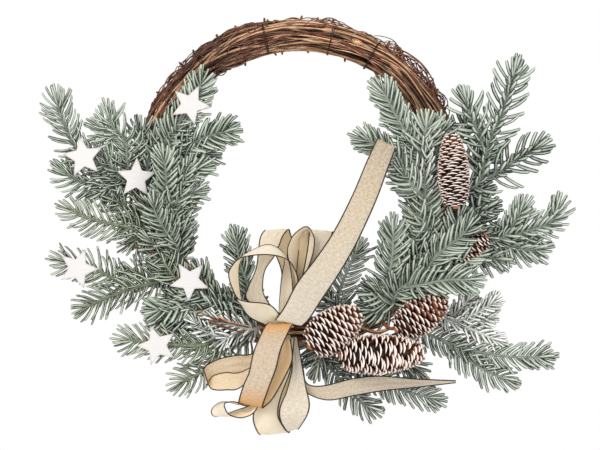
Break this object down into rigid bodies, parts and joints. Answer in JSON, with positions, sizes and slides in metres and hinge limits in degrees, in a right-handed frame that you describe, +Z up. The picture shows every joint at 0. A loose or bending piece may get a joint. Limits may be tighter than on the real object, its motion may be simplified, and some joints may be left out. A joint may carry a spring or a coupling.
{
  "type": "christmas wreath",
  "caption": "Ring of twisted vine twigs with its top left bare, dressed with grey-green fir sprays, pine cones, white wooden stars and a wired ribbon bow, to hang on a wall or door.",
  "frame": {"origin": "where the inside of the bare top of the ring rests on its hook", "axes": "+X to the viewer's right, +Y away from the viewer to the wall, +Z up as it hangs"},
  "size_m": [0.5558, 0.088, 0.4387],
  "materials": {
    "vine": "bark on dried twigs, matt",
    "wire": "annealed iron wire, dark",
    "needle": "moulded needles, grey green",
    "frosted_needle": "moulded needles under white frosting",
    "cone": "dry woody scales with pale frosted tips",
    "star": "plywood painted white",
    "ribbon": "sheer plain weave with dark wired edges"
  },
  "bodies": {
    "root": {"vine_ring": "vine", "binding_wire_1": "wire", "binding_wire_2": "wire", "binding_wire_3": "wire", "binding_wire_4": "wire", "binding_wire_5": "wire", "fir_spray_top_left": "needle", "fir_spray_upper_left": "needle", "fir_spray_mid_left": "needle", "fir_spray_lower_left": "needle", "fir_spray_inner_left": "needle", "fir_spray_short_left": "needle", "fir_spray_bottom_left": "needle", "fir_spray_by_bow": "needle", "fir_spray_inner_right": "needle", "fir_spray_upper_right": "needle", "fir_spray_mid_right": "needle", "fir_spray_low_right": "needle", "fir_spray_lower_right": "needle", "fir_spray_bottom_right": "needle", "fir_spray_by_tail": "needle", "frosted_spray_left": "frosted_needle", "frosted_spray_right": "frosted_needle", "pine_cone_upright": "cone", "pine_cone_by_bow": "cone", "pine_cone_middle": "cone", "pine_cone_lowest": "cone", "pine_cone_hidden": "cone", "star_top": "star", "star_outer": "star", "star_inner": "star", "star_low_inner": "star", "star_low_outer": "star", "star_bottom": "star", "ribbon_bow": "ribbon"}
  },
  "joints": []
}
